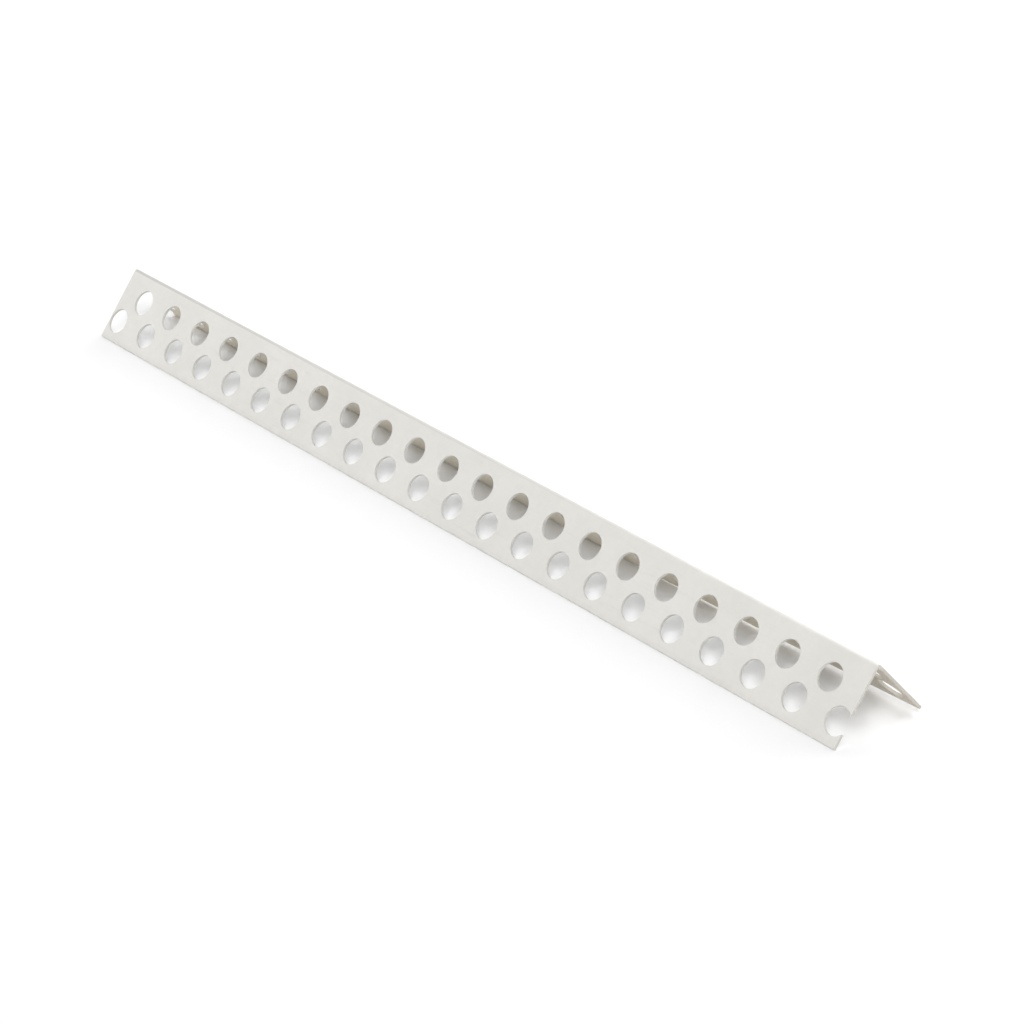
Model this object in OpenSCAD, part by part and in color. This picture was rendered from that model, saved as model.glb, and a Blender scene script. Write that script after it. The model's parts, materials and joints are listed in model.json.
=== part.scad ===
// Perforated vinyl corner bead: one extruded angle, rolled over a small nose,
// with two rows of round keying holes punched through each leg.
// It lies on its two free edges with the nose up. X runs along the bead,
// the front leg goes down towards -Y and the back leg towards +Y.

/* [Section] */
// Length of the cut piece
bead_len = 400; // [100:1:1220]
// Width of a leg, over the nose
leg_w = 28.6; // [27:0.1:45]
// Wall thickness
wall = 1; // [0.6:0.05:1.6]
// Angle between the legs
corner_angle = 72.5; // [60:0.5:120]
// Radius inside the nose
nose_in_r = 0.2; // [0.1:0.05:3]
// Rounding of the free edges
edge_r = 0.2; // [0.05:0.05:0.25]

/* [Holes] */
// Hole diameter
hole_d = 9.5; // [5:0.1:10]
// Spacing of the holes along a row
hole_pitch = 18.62; // [14:0.01:40]
// Free edge to the centres of the edge row
edge_to_row = 8; // [6.5:0.1:10]
// Edge row to the nose row
row_gap = 10.5; // [9:0.1:13]
// Left end to the first hole, front leg, edge row
front_edge_start = 5.2; // [0.5:0.1:18.5]
// Left end to the first hole, front leg, nose row
front_nose_start = 13.8; // [0.5:0.1:18.5]
// Left end to the first hole, back leg, edge row
back_edge_start = 1.9; // [0.5:0.1:18.5]
// Left end to the first hole, back leg, nose row
back_nose_start = 17.7; // [0.5:0.1:18.5]

/* [Hidden] */
$fn = 96;

vinyl = [0.91, 0.905, 0.885];
over = 1;
half_angle = corner_angle / 2;
nose_out_r = nose_in_r + wall;
// Flat part of a leg, from the nose's centre line to the free edge
flat_len = leg_w - nose_out_r;
// Height of the nose's centre line, with the rounded inner edges on the floor
nose_z = (flat_len - edge_r) * cos(half_angle) - (nose_in_r + edge_r) * sin(half_angle) + edge_r;
// Rows, measured from the nose's centre line
edge_row = flat_len - edge_to_row;
nose_row = edge_row - row_gap;

// A leg hanging straight down from the nose's centre line, solid on its inner side
module leg_outline() {
    translate([0, edge_r - flat_len])
        square([nose_out_r, flat_len - edge_r]);
    translate([nose_in_r + edge_r, -flat_len])
        square([wall - 2 * edge_r, flat_len]);
    for (x = [nose_in_r + edge_r, nose_out_r - edge_r])
        translate([x, edge_r - flat_len])
            circle(r = edge_r);
}

// The space between the legs, with the round of the nose's inside on top
module inside_outline() {
    normal = [cos(half_angle), sin(half_angle)];
    down = [sin(half_angle), -cos(half_angle)];
    top = nose_in_r * normal;
    foot = top + (flat_len + over) * down;
    circle(r = nose_in_r);
    polygon([top, foot, [-foot.x, foot.y], [-top.x, top.y]]);
}

module bead_section() {
    difference() {
        union() {
            circle(r = nose_out_r);
            for (side = [0, 1])
                mirror([side, 0])
                    rotate(half_angle)
                        leg_outline();
        }
        inside_outline();
    }
}

// A row of holes square to a leg. A hole is punched where its centre is on the piece.
module hole_row(start, along) {
    for (x = [start : hole_pitch : bead_len])
        translate([x - bead_len / 2, 0, -along])
            rotate([-90, 0, 0])
                translate([0, 0, nose_in_r - over])
                    cylinder(d = hole_d, h = wall + 2 * over);
}

module corner_bead() {
    color(vinyl)
        translate([0, 0, nose_z])
            difference() {
                translate([-bead_len / 2, 0, 0])
                    rotate([90, 0, 90])
                        linear_extrude(bead_len)
                            bead_section();
                rotate([half_angle, 0, 0]) {
                    hole_row(back_edge_start, edge_row);
                    hole_row(back_nose_start, nose_row);
                }
                mirror([0, 1, 0])
                    rotate([half_angle, 0, 0]) {
                        hole_row(front_edge_start, edge_row);
                        hole_row(front_nose_start, nose_row);
                    }
            }
}

corner_bead();
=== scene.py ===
import json
import math

import bmesh
import bpy
from mathutils import Matrix, Vector


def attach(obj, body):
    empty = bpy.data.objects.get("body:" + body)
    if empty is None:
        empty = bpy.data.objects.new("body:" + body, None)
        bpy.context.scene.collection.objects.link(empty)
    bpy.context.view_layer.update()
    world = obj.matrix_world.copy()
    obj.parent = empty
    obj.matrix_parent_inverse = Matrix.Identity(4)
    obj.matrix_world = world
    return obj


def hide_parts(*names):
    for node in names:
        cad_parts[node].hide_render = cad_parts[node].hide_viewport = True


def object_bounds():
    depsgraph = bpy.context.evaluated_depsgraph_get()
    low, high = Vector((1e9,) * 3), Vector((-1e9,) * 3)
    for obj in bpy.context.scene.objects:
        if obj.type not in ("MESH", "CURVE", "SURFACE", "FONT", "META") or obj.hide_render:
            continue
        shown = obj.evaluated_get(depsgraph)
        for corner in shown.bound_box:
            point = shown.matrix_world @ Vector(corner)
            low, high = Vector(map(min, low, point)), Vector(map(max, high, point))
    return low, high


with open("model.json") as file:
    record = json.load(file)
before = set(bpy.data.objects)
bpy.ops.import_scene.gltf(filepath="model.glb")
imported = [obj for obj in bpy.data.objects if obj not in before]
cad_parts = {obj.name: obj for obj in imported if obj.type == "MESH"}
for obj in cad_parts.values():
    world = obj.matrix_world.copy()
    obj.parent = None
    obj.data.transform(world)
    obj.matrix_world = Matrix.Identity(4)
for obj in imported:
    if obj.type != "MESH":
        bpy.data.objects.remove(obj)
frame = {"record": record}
cad_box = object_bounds()
mounts = {mount["name"]: mount for mount in frame["record"]["mounts"]}

# Camera, at the photograph's viewing angle. The image is 1024 by 1024.
VIEW_AZIMUTH = math.radians(51.229)
VIEW_ELEVATION = math.radians(25.890)
VIEW_ROLL = math.radians(0.161)
VIEW_DISTANCE = 1.1611
# How far the middle of the bead's foot lies from the middle of the image, to the right and up
VIEW_RIGHT = -0.01669
VIEW_UP = 0.00237
LENS_PIXELS = 3420.5
IMAGE_PIXELS = 1024
SENSOR_MM = 36
NEAR_CLIP = 0.01

# The bead's section and holes, in metres. Front is -1 and back is 1, along Y.
FRONT, BACK = -1, 1
LENGTH = cad_box[1][0] - cad_box[0][0]
LEG_WIDTH = 0.0286
NOSE_INSIDE = 0.0002
EDGE_ROUND = 0.0002
WALL = mounts["front_edge_row_left"]["dims"]["length_mm"] / 1000
HOLE_RADIUS = mounts["front_edge_row_left"]["dims"]["r_mm"] / 1000
HALF_ANGLE = math.asin(mounts["back_edge_row_left"]["axis"][2])
# How far the sheet turns round the nose, from the outside of one leg to the other
NOSE_TURN = math.pi - 2 * HALF_ANGLE
NOSE_OUTSIDE = NOSE_INSIDE + WALL
FLAT = LEG_WIDTH - NOSE_OUTSIDE
NOSE_LINE = Vector((0, 0, mounts["wall_corner"]["pos_m"][2] - NOSE_INSIDE))
# The left mount of a row is its second hole, and the middle one its eleventh
HOLES_LEFT_TO_MIDDLE = 9
PUNCH_DEPTH = 4 * WALL
# How round the punched rims and the sawn ends are
RIM_ROUND = 0.00012
# The back leg is bent open towards the right end, and the bend grows by this power of the way there
OPENS_FROM = 0.05
OPENS_BY = math.radians(6)
OPENS_POWER = 1.5
# How finely the mesh is cut
NOSE_STEPS = 12
LENGTH_CUTS = 60
HOLE_SIDES = 48
EDGE_STEPS = 3
RIM_STEPS = 2
# Edges that turn more than SHARP are rounded as rims, and those that turn less than SMOOTH are shaded round
SHARP = math.radians(60)
SMOOTH = math.radians(35)
# How close a place has to be to count as the same, when edges are picked and when doubles are merged
CLOSE = WALL / 100
MERGED = WALL / 1000
# A punched wall faces out of its leg by less than this, and a sawn end faces along the bead by more
WALL_FACES_OUT = 0.5
END_FACES_ALONG = 0.7

# Studio: white paper under the bead, which runs into the white of the room between two distances
FLOOR_SIZE = 8
FADES_FROM = 0.35
FADES_TO = 1.0
PAPER = (0.96, 0.96, 0.96)
PAPER_SHOWN = (0.995, 0.997, 1.000)
PAPER_ROUGHNESS = 0.9
WHITE = (1, 1, 1, 1)

# Where the vinyl is marked and where shade is painted on it: up from the floor, and along the bead from its
# middle
# Painted contact shade on the legs, from the floor up to this height
FOOT_SHADE_UP_TO = 0.002
# Painted warm shade on the back leg's inside, full up to this height and gone at the next
TAN_SHADE_UP_TO = 0.008
TAN_SHADE_GONE_FROM = 0.014
# Painted shade on the top of the nose, from the left end to this place
NOSE_SHADE_UP_TO = 0.15
# Painted shade on the back leg's inside, growing from the first place along the bead to the second
RIGHT_END_SHADE_FROM = 0.12
RIGHT_END_SHADE_FULL_FROM = 0.19
# How far behind the ridge the back leg's painted shade is at full strength
BACK_LEG_FROM = 0.002
# How strongly the marks and the painted shade show, out of 1
# Strength of the painted shade on the nose
NOSE_SHADE_BY = 0.75
RUBBED_BY = 0.35
# Strength of the painted contact shade along the foot
FOOT_SHADE_BY = 0.45
# Strengths of the painted shade on the back leg's cut vinyl and on the sawn right end
CUT_BACK_LEG_SHADE_BY = 0.6
CUT_RIGHT_END_SHADE_BY = 0.3

# Vinyl: its index of refraction and its linear colours, with painted light and shade among them
VINYL_IOR = 1.53
VINYL_LIGHT = (0.790, 0.776, 0.738)
VINYL_DARK = (0.758, 0.744, 0.706)
VINYL_SCUFFED = (0.66, 0.64, 0.60)
# Painted contact shade, mottled, along the foot
VINYL_FOOT_SHADE = (0.56, 0.53, 0.47)
# Painted light: the insides are lighter and cooler than the outside
VINYL_INSIDE_PAINTED_LIGHT = (0.92, 0.93, 0.94)
# Painted warm shade, tan, low on the back leg's inside
VINYL_TAN_SHADE = (0.90, 0.825, 0.68)
# Painted shade, dark brown, on the back leg's inside at the right end and on the cut vinyl
VINYL_PAINTED_SHADE = (0.52, 0.47, 0.39)
# Painted shade on the top of the nose
VINYL_NOSE_SHADE = (0.46, 0.45, 0.43)
# Cut vinyl, darker than the face: painted shade on the hole walls and sawn ends
VINYL_CUT_LIGHT = (0.715, 0.70, 0.66)
VINYL_CUT_DARK = (0.625, 0.605, 0.565)


def outward(side):
    """Unit vector out of the outside of a leg."""
    return Vector((0, side * math.cos(HALF_ANGLE), math.sin(HALF_ANGLE)))


def down(side):
    """Unit vector down a leg, from the nose to the foot."""
    return Vector((0, side * math.sin(HALF_ANGLE), -math.cos(HALF_ANGLE)))


def lean(side):
    """Turn about X that lays a flat primitive on the outside of a leg."""
    return -side * (math.pi / 2 - HALF_ANGLE)


def deselect_all():
    bpy.ops.object.select_all(action="DESELECT")


def pick_edges(piece, wanted):
    """Select the edges that pass a test, in edit mode."""
    bpy.ops.mesh.select_mode(type="EDGE")
    bpy.ops.mesh.select_all(action="DESELECT")
    mesh = bmesh.from_edit_mesh(piece.data)
    for edge in mesh.edges:
        if wanted(*(vertex.co for vertex in edge.verts)):
            edge.select_set(True)
    bmesh.update_edit_mesh(piece.data)


def apply_modifier(piece, kind, **settings):
    modifier = piece.modifiers.new(kind.title(), kind)
    for name, value in settings.items():
        setattr(modifier, name, value)
    bpy.context.view_layer.objects.active = piece
    bpy.ops.object.modifier_apply(modifier=modifier.name)


def fold_sheet():
    """The outside of the bead as one folded sheet, then given its wall."""
    deselect_all()
    middle = NOSE_LINE + NOSE_OUTSIDE * outward(FRONT) + FLAT / 2 * down(FRONT)
    bpy.ops.mesh.primitive_plane_add(size=1, location=middle, rotation=(lean(FRONT), 0, 0))
    bead = bpy.context.object
    bead.name = "perforated_angle"
    bead.scale = (LENGTH, FLAT, 1)
    bpy.ops.object.transform_apply(location=True, rotation=True, scale=True)

    bpy.ops.object.mode_set(mode="EDIT")
    pick_edges(bead, lambda a, b: min(a.z, b.z) > NOSE_LINE.z)
    bpy.ops.mesh.spin(steps=NOSE_STEPS, angle=NOSE_TURN, center=NOSE_LINE, axis=(1, 0, 0))
    tangent = NOSE_OUTSIDE * math.cos(HALF_ANGLE)
    pick_edges(bead, lambda a, b: min(a.y, b.y) > tangent - CLOSE)
    bpy.ops.mesh.extrude_region_move(TRANSFORM_OT_translate={"value": FLAT * down(BACK)})
    bpy.ops.mesh.select_all(action="SELECT")
    bpy.ops.mesh.remove_doubles(threshold=MERGED)
    pick_edges(bead, lambda a, b: abs(a.x - b.x) > LENGTH / 2)
    bpy.ops.mesh.subdivide(number_cuts=LENGTH_CUTS)
    bpy.ops.mesh.select_all(action="SELECT")
    bpy.ops.mesh.normals_make_consistent(inside=False)
    bpy.ops.object.mode_set(mode="OBJECT")
    if bead.data.polygons[0].normal.dot(outward(FRONT)) < 0:
        bead.data.flip_normals()
    apply_modifier(bead, "SOLIDIFY", thickness=WALL, offset=-1, use_even_offset=True)
    return bead


def depth_down_leg(point):
    """How far down its leg a point lies, from the middle of the nose."""
    side = BACK if point.y > 0 else FRONT
    return (point - NOSE_LINE).dot(down(side))


def round_free_edges(bead):
    """Round the long edges at the foot of both legs."""
    bpy.ops.object.mode_set(mode="EDIT")
    at_foot = FLAT - CLOSE
    pick_edges(bead, lambda a, b: abs(a.x - b.x) > WALL and min(map(depth_down_leg, (a, b))) > at_foot)
    bpy.ops.mesh.bevel(offset=EDGE_ROUND, segments=EDGE_STEPS, affect="EDGES")
    bpy.ops.object.mode_set(mode="OBJECT")


def punch_row(bead, row, side):
    """Cut a row of round holes, at the places that the frame gives."""
    first, middle = (Vector(mounts[f"{row}_row_{place}"]["pos_m"]) for place in ("left", "middle"))
    pitch = (middle.x - first.x) / HOLES_LEFT_TO_MIDDLE
    start = first.x - pitch
    count = 1 + int((LENGTH / 2 - start) / pitch)
    deselect_all()
    bpy.ops.mesh.primitive_cylinder_add(vertices=HOLE_SIDES, radius=HOLE_RADIUS, depth=PUNCH_DEPTH,
                                        location=(start, first.y, first.z), rotation=(lean(side), 0, 0))
    punch = bpy.context.object
    apply_modifier(punch, "ARRAY", count=count, use_relative_offset=False, use_constant_offset=True,
                   constant_offset_displace=(pitch, 0, 0))
    apply_modifier(bead, "BOOLEAN", operation="DIFFERENCE", solver="EXACT", object=punch)
    bpy.data.objects.remove(punch)


def round_rims(bead):
    """Break the sharp edges of the holes and of the sawn ends."""
    deselect_all()
    bead.select_set(True)
    bpy.context.view_layer.objects.active = bead
    bpy.ops.object.mode_set(mode="EDIT")
    bpy.ops.mesh.select_all(action="SELECT")
    bpy.ops.mesh.remove_doubles(threshold=MERGED)
    bpy.ops.mesh.select_mode(type="EDGE")
    bpy.ops.mesh.select_all(action="DESELECT")
    bpy.ops.mesh.edges_select_sharp(sharpness=SHARP)
    bpy.ops.mesh.bevel(offset=RIM_ROUND, segments=RIM_STEPS, affect="EDGES", clamp_overlap=True)
    bpy.ops.object.mode_set(mode="OBJECT")


def open_right_end(bead):
    """Bend the back leg outwards about the nose, more and more towards the right end."""
    for vertex in bead.data.vertices:
        along = (vertex.co.x - OPENS_FROM) / (LENGTH / 2 - OPENS_FROM)
        if along <= 0:
            continue
        spoke = vertex.co - NOSE_LINE
        from_front = math.atan2(spoke.z, -spoke.y) - HALF_ANGLE
        if spoke.y > 0 and depth_down_leg(vertex.co) > 0:
            share = 1
        elif spoke.z > 0:
            share = min(max(from_front / NOSE_TURN, 0), 1)
        else:
            share = 0
        turn = share * OPENS_BY * along ** OPENS_POWER
        vertex.co = NOSE_LINE + Matrix.Rotation(turn, 3, "X") @ spoke


def mark_cuts(bead):
    """Give the punched walls and the sawn ends the cut vinyl material: a duller finish, and painted shade.
    """
    for face in bead.data.polygons:
        side = BACK if face.center.y > 0 else FRONT
        depth = depth_down_leg(face.center)
        faces_out = abs(face.normal.dot(outward(side)))
        punched = faces_out < WALL_FACES_OUT and 0 < depth < FLAT - 2 * EDGE_ROUND
        sawn = abs(face.normal.x) > END_FACES_ALONG and abs(face.center.x) > LENGTH / 2 - RIM_ROUND
        face.material_index = int(punched or sawn)


def model_bead():
    bead = fold_sheet()
    round_free_edges(bead)
    punch_row(bead, "front_edge", FRONT)
    punch_row(bead, "front_nose", FRONT)
    punch_row(bead, "back_edge", BACK)
    punch_row(bead, "back_nose", BACK)
    round_rims(bead)
    bead.data.materials.append(vinyl_material())
    bead.data.materials.append(cut_vinyl_material())
    mark_cuts(bead)
    open_right_end(bead)
    bpy.ops.object.shade_smooth_by_angle(angle=SMOOTH)
    apply_modifier(bead, "WEIGHTED_NORMAL", keep_sharp=True)
    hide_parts("corner_bead")
    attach(bead, "root")


def direction(azimuth, elevation):
    """Unit vector towards a place round the bead. Azimuth runs from the front round to the right end."""
    return Vector((math.sin(azimuth) * math.cos(elevation),
                   -math.cos(azimuth) * math.cos(elevation),
                   math.sin(elevation)))


def add_camera():
    back = direction(VIEW_AZIMUTH, VIEW_ELEVATION)
    right = Vector((math.cos(VIEW_AZIMUTH), math.sin(VIEW_AZIMUTH), 0))
    up = back.cross(right)
    right, up = (math.cos(VIEW_ROLL) * right + math.sin(VIEW_ROLL) * up,
                 math.cos(VIEW_ROLL) * up - math.sin(VIEW_ROLL) * right)
    place = VIEW_DISTANCE * back - VIEW_RIGHT * right - VIEW_UP * up
    turn = Matrix((right, up, back)).transposed().to_4x4()
    bpy.ops.object.camera_add()
    camera = bpy.context.object
    camera.name = "camera"
    camera.matrix_world = Matrix.Translation(place) @ turn
    camera.data.sensor_width = SENSOR_MM
    camera.data.lens = LENS_PIXELS / IMAGE_PIXELS * SENSOR_MM
    camera.data.clip_start = NEAR_CLIP
    bpy.context.scene.camera = camera


def add_node(tree, kind, inputs=(), **settings):
    """Add a shader node, set it up, and give its inputs values or link them to other nodes' outputs."""
    node = tree.nodes.new("ShaderNode" + kind)
    for name, value in settings.items():
        setattr(node, name, value)
    for name, value in dict(inputs).items():
        if isinstance(value, bpy.types.NodeSocket):
            tree.links.new(value, node.inputs[name])
        else:
            node.inputs[name].default_value = value
    return node


def new_material(name):
    material = bpy.data.materials.new(name)
    material.use_nodes = True
    tree = material.node_tree
    return material, tree, tree.nodes["Principled BSDF"]


def noise(tree, where, scale, detail=3.0, roughness=0.55):
    return add_node(tree, "TexNoise", {"Vector": where, "Scale": scale, "Detail": detail,
                                       "Roughness": roughness}).outputs["Fac"]


def stretched(tree, where, scale, turn=(0, 0, 0)):
    return add_node(tree, "Mapping", {"Vector": where, "Scale": scale, "Rotation": turn}).outputs["Vector"]


def spread(tree, value, low, high, to_low=0.0, to_high=1.0):
    """Take the values from low to high and spread them from to_low to to_high, clamped."""
    return add_node(tree, "MapRange", {"Value": value, "From Min": low, "From Max": high,
                                       "To Min": to_low, "To Max": to_high}).outputs["Result"]


def calculate(tree, operation, *values):
    return add_node(tree, "Math", dict(enumerate(values)), operation=operation).outputs["Value"]


def mix_colours(tree, share, first, second):
    """Mix two colours, each a plain linear colour or another node's output."""
    first, second = (colour if isinstance(colour, bpy.types.NodeSocket) else (*colour, 1)
                     for colour in (first, second))
    node = add_node(tree, "Mix", data_type="RGBA")
    for socket, value in (("Factor_Float", share), ("A_Color", first), ("B_Color", second)):
        target = next(s for s in node.inputs if s.identifier == socket)
        if isinstance(value, bpy.types.NodeSocket):
            tree.links.new(value, target)
        else:
            target.default_value = value
    return next(s for s in node.outputs if s.identifier == "Result_Color")


def bump(tree, height, distance, strength, under=None):
    inputs = {"Height": height, "Distance": distance, "Strength": strength}
    if under:
        inputs["Normal"] = under
    return add_node(tree, "Bump", inputs).outputs["Normal"]


def vinyl_material():
    """Extruded white vinyl: cloudy colour, fine die lines along the bead, rubbed streaks and painted contact
    shade along the foot.

    The nose has painted shade towards the left end. The insides have painted light; the back leg's inside
    has painted warm shade low down, and painted dark shade at the right end.
    """
    material, tree, shader = new_material("white_vinyl")
    coordinates = add_node(tree, "TexCoord")
    place = coordinates.outputs["Object"]
    along, across, height = add_node(tree, "SeparateXYZ", {"Vector": place}).outputs
    facing_up = add_node(tree, "SeparateXYZ", {"Vector": coordinates.outputs["Normal"]}).outputs["Z"]

    clouds = noise(tree, place, scale=45, detail=4)
    grain = noise(tree, place, scale=420)
    peel = noise(tree, place, scale=1100, detail=2)
    die_lines = noise(tree, stretched(tree, place, (0.015, 1, 1)), scale=2400, detail=2)
    streaks = noise(tree, stretched(tree, place, (0.12, 1, 1), (0.5, 0.2, 0.45)), scale=520, detail=4)
    patches = noise(tree, place, scale=28, detail=2)

    rubbed = calculate(tree, "MULTIPLY", spread(tree, streaks, 0.58, 0.70),
                       spread(tree, patches, 0.50, 0.64))
    # Painted contact shade along the foot, mottled by the grain
    near_foot = spread(tree, height, 0.0, FOOT_SHADE_UP_TO, 1.0, 0.0)
    foot_shade = calculate(tree, "MULTIPLY", near_foot, spread(tree, grain, 0.30, 0.70, 0.25, 0.75))
    # The insides of the legs face down, and the nose faces up more than their outsides do. The insides get
    # painted light: a lighter, cooler colour than the outside.
    inside = spread(tree, facing_up, -0.1, -0.4)
    nose = spread(tree, facing_up, 0.63, 0.85)
    # Painted shade on the top of the nose, strongest at the left end
    nose_shade = calculate(tree, "MULTIPLY", nose, spread(tree, along, -LENGTH / 2, NOSE_SHADE_UP_TO, NOSE_SHADE_BY, 0.0))
    on_back_leg = spread(tree, across, 0.0, BACK_LEG_FROM)

    colour = mix_colours(tree, spread(tree, clouds, 0.35, 0.65), VINYL_LIGHT, VINYL_DARK)
    colour = mix_colours(tree, spread(tree, grain, 0.35, 0.75, 0.0, 0.16), colour, VINYL_SCUFFED)
    colour = mix_colours(tree, spread(tree, die_lines, 0.50, 0.80, 0.0, 0.12), colour, VINYL_SCUFFED)
    # Painted tan shade low on the back leg's inside, fading out upwards
    above_tan_shade = spread(tree, height, TAN_SHADE_UP_TO, TAN_SHADE_GONE_FROM)
    back_inside = mix_colours(tree, above_tan_shade, VINYL_TAN_SHADE, VINYL_INSIDE_PAINTED_LIGHT)
    # Painted shade on the back leg's inside, growing towards the right end
    painted_shade_share = spread(tree, along, RIGHT_END_SHADE_FROM, RIGHT_END_SHADE_FULL_FROM)
    back_inside = mix_colours(tree, painted_shade_share, back_inside, VINYL_PAINTED_SHADE)
    # Painted light on the insides of both legs, with the back leg's painted shade
    colour = mix_colours(tree, inside, colour, mix_colours(tree, on_back_leg, VINYL_INSIDE_PAINTED_LIGHT, back_inside))
    # Painted shade on the nose
    colour = mix_colours(tree, nose_shade, colour, VINYL_NOSE_SHADE)
    colour = mix_colours(tree, calculate(tree, "MULTIPLY", rubbed, RUBBED_BY), colour, VINYL_SCUFFED)
    # Painted contact shade along the foot
    colour = mix_colours(tree, calculate(tree, "MULTIPLY", foot_shade, FOOT_SHADE_BY), colour, VINYL_FOOT_SHADE)
    tree.links.new(colour, shader.inputs["Base Color"])

    gloss = spread(tree, grain, 0.3, 0.7, 0.40, 0.52)
    tree.links.new(calculate(tree, "MULTIPLY_ADD", rubbed, 0.15, gloss), shader.inputs["Roughness"])
    surface = bump(tree, peel, distance=0.00002, strength=0.5)
    surface = bump(tree, die_lines, distance=0.00001, strength=0.6, under=surface)
    tree.links.new(surface, shader.inputs["Normal"])
    shader.inputs["IOR"].default_value = VINYL_IOR
    return material


def cut_vinyl_material():
    """Punched and sawn vinyl: duller, with tool marks, and darker with painted shade, most on the back leg
    and the right end.
    """
    material, tree, shader = new_material("cut_vinyl")
    place = add_node(tree, "TexCoord").outputs["Object"]
    marks = noise(tree, stretched(tree, place, (1, 0.15, 0.15)), scale=3200, detail=2)
    crumbs = noise(tree, place, scale=1800)
    along, across, _ = add_node(tree, "SeparateXYZ", {"Vector": place}).outputs
    # Painted shade on the back leg's hole walls and on the sawn right end
    back_leg_cut_shade = spread(tree, across, 0.0, BACK_LEG_FROM, 0.0, CUT_BACK_LEG_SHADE_BY)
    right_end_cut_shade = spread(tree, along, LENGTH / 2 - WALL, LENGTH / 2, 0.0, CUT_RIGHT_END_SHADE_BY)
    painted_shade_share = calculate(tree, "MAXIMUM", back_leg_cut_shade, right_end_cut_shade)
    colour = mix_colours(tree, spread(tree, crumbs, 0.35, 0.70), VINYL_CUT_LIGHT, VINYL_CUT_DARK)
    colour = mix_colours(tree, painted_shade_share, colour, VINYL_PAINTED_SHADE)
    tree.links.new(colour, shader.inputs["Base Color"])
    tree.links.new(spread(tree, crumbs, 0.3, 0.7, 0.55, 0.70), shader.inputs["Roughness"])
    surface = bump(tree, crumbs, distance=0.00004, strength=0.6)
    surface = bump(tree, marks, distance=0.00003, strength=0.7, under=surface)
    tree.links.new(surface, shader.inputs["Normal"])
    shader.inputs["IOR"].default_value = VINYL_IOR
    return material


def seen_directly(tree):
    """1 for what the camera sees, also in a reflection or through something clear, and 0 for other light."""
    path = add_node(tree, "LightPath").outputs
    seen = calculate(tree, "MAXIMUM", path["Is Camera Ray"], path["Is Glossy Ray"])
    return calculate(tree, "MAXIMUM", seen, path["Is Transmission Ray"])


def add_floor():
    deselect_all()
    bpy.ops.mesh.primitive_plane_add(size=FLOOR_SIZE)
    floor = bpy.context.object
    floor.name = "floor"
    material, tree, shader = new_material("white_paper")
    # The paper is shown brighter than it lights the bead, as a white sweep is exposed
    seen = seen_directly(tree)
    tree.links.new(mix_colours(tree, seen, PAPER, PAPER_SHOWN), shader.inputs["Base Color"])
    # Away from the bead, where the softboxes don't reach, it runs into the white of the room
    place = add_node(tree, "TexCoord").outputs["Object"]
    away = add_node(tree, "VectorMath", {0: place}, operation="LENGTH").outputs["Value"]
    fade = spread(tree, away, FADES_FROM, FADES_TO)
    tree.links.new(calculate(tree, "MULTIPLY", seen, fade), shader.inputs["Emission Strength"])
    shader.inputs["Emission Color"].default_value = WHITE
    shader.inputs["Roughness"].default_value = PAPER_ROUGHNESS
    shader.inputs["Specular IOR Level"].default_value = 0.0
    floor.data.materials.append(material)


def add_softbox(name, azimuth, elevation, distance, size, power):
    """A round softbox that faces the bead, in degrees, metres and watts."""
    towards = direction(math.radians(azimuth), math.radians(elevation))
    bpy.ops.object.light_add(type="AREA", location=distance * towards)
    lamp = bpy.context.object
    lamp.name = name
    lamp.rotation_euler = (-towards).to_track_quat("-Z", "Y").to_euler()
    lamp.data.shape = "DISK"
    lamp.data.size = size
    lamp.data.energy = power
    lamp.visible_camera = False


def surround_with_white():
    """The room gives no light of its own, and the camera and reflections see it plain white."""
    world = bpy.data.worlds.new("studio")
    bpy.context.scene.world = world
    world.use_nodes = True
    tree = world.node_tree
    sweep = tree.nodes["Background"]
    sweep.inputs["Color"].default_value = WHITE
    tree.links.new(seen_directly(tree), sweep.inputs["Strength"])


def light_scene():
    add_softbox("by_camera", azimuth=50, elevation=37, distance=3.2, size=2.0, power=58.0)
    add_softbox("over_camera", azimuth=45, elevation=60, distance=3.2, size=2.0, power=21.0)
    add_softbox("over_right_end", azimuth=90, elevation=70, distance=1.6, size=1.0, power=2.0)
    add_softbox("behind", azimuth=180, elevation=30, distance=1.6, size=2.0, power=24.2)
    add_softbox("behind_left_end", azimuth=240, elevation=50, distance=1.6, size=1.0, power=3.8)
    add_softbox("left_end", azimuth=300, elevation=30, distance=0.9, size=0.7, power=1.5)
    surround_with_white()


add_camera()
model_bead()
add_floor()
light_scene()
bpy.context.scene.view_settings.view_transform = "Standard"
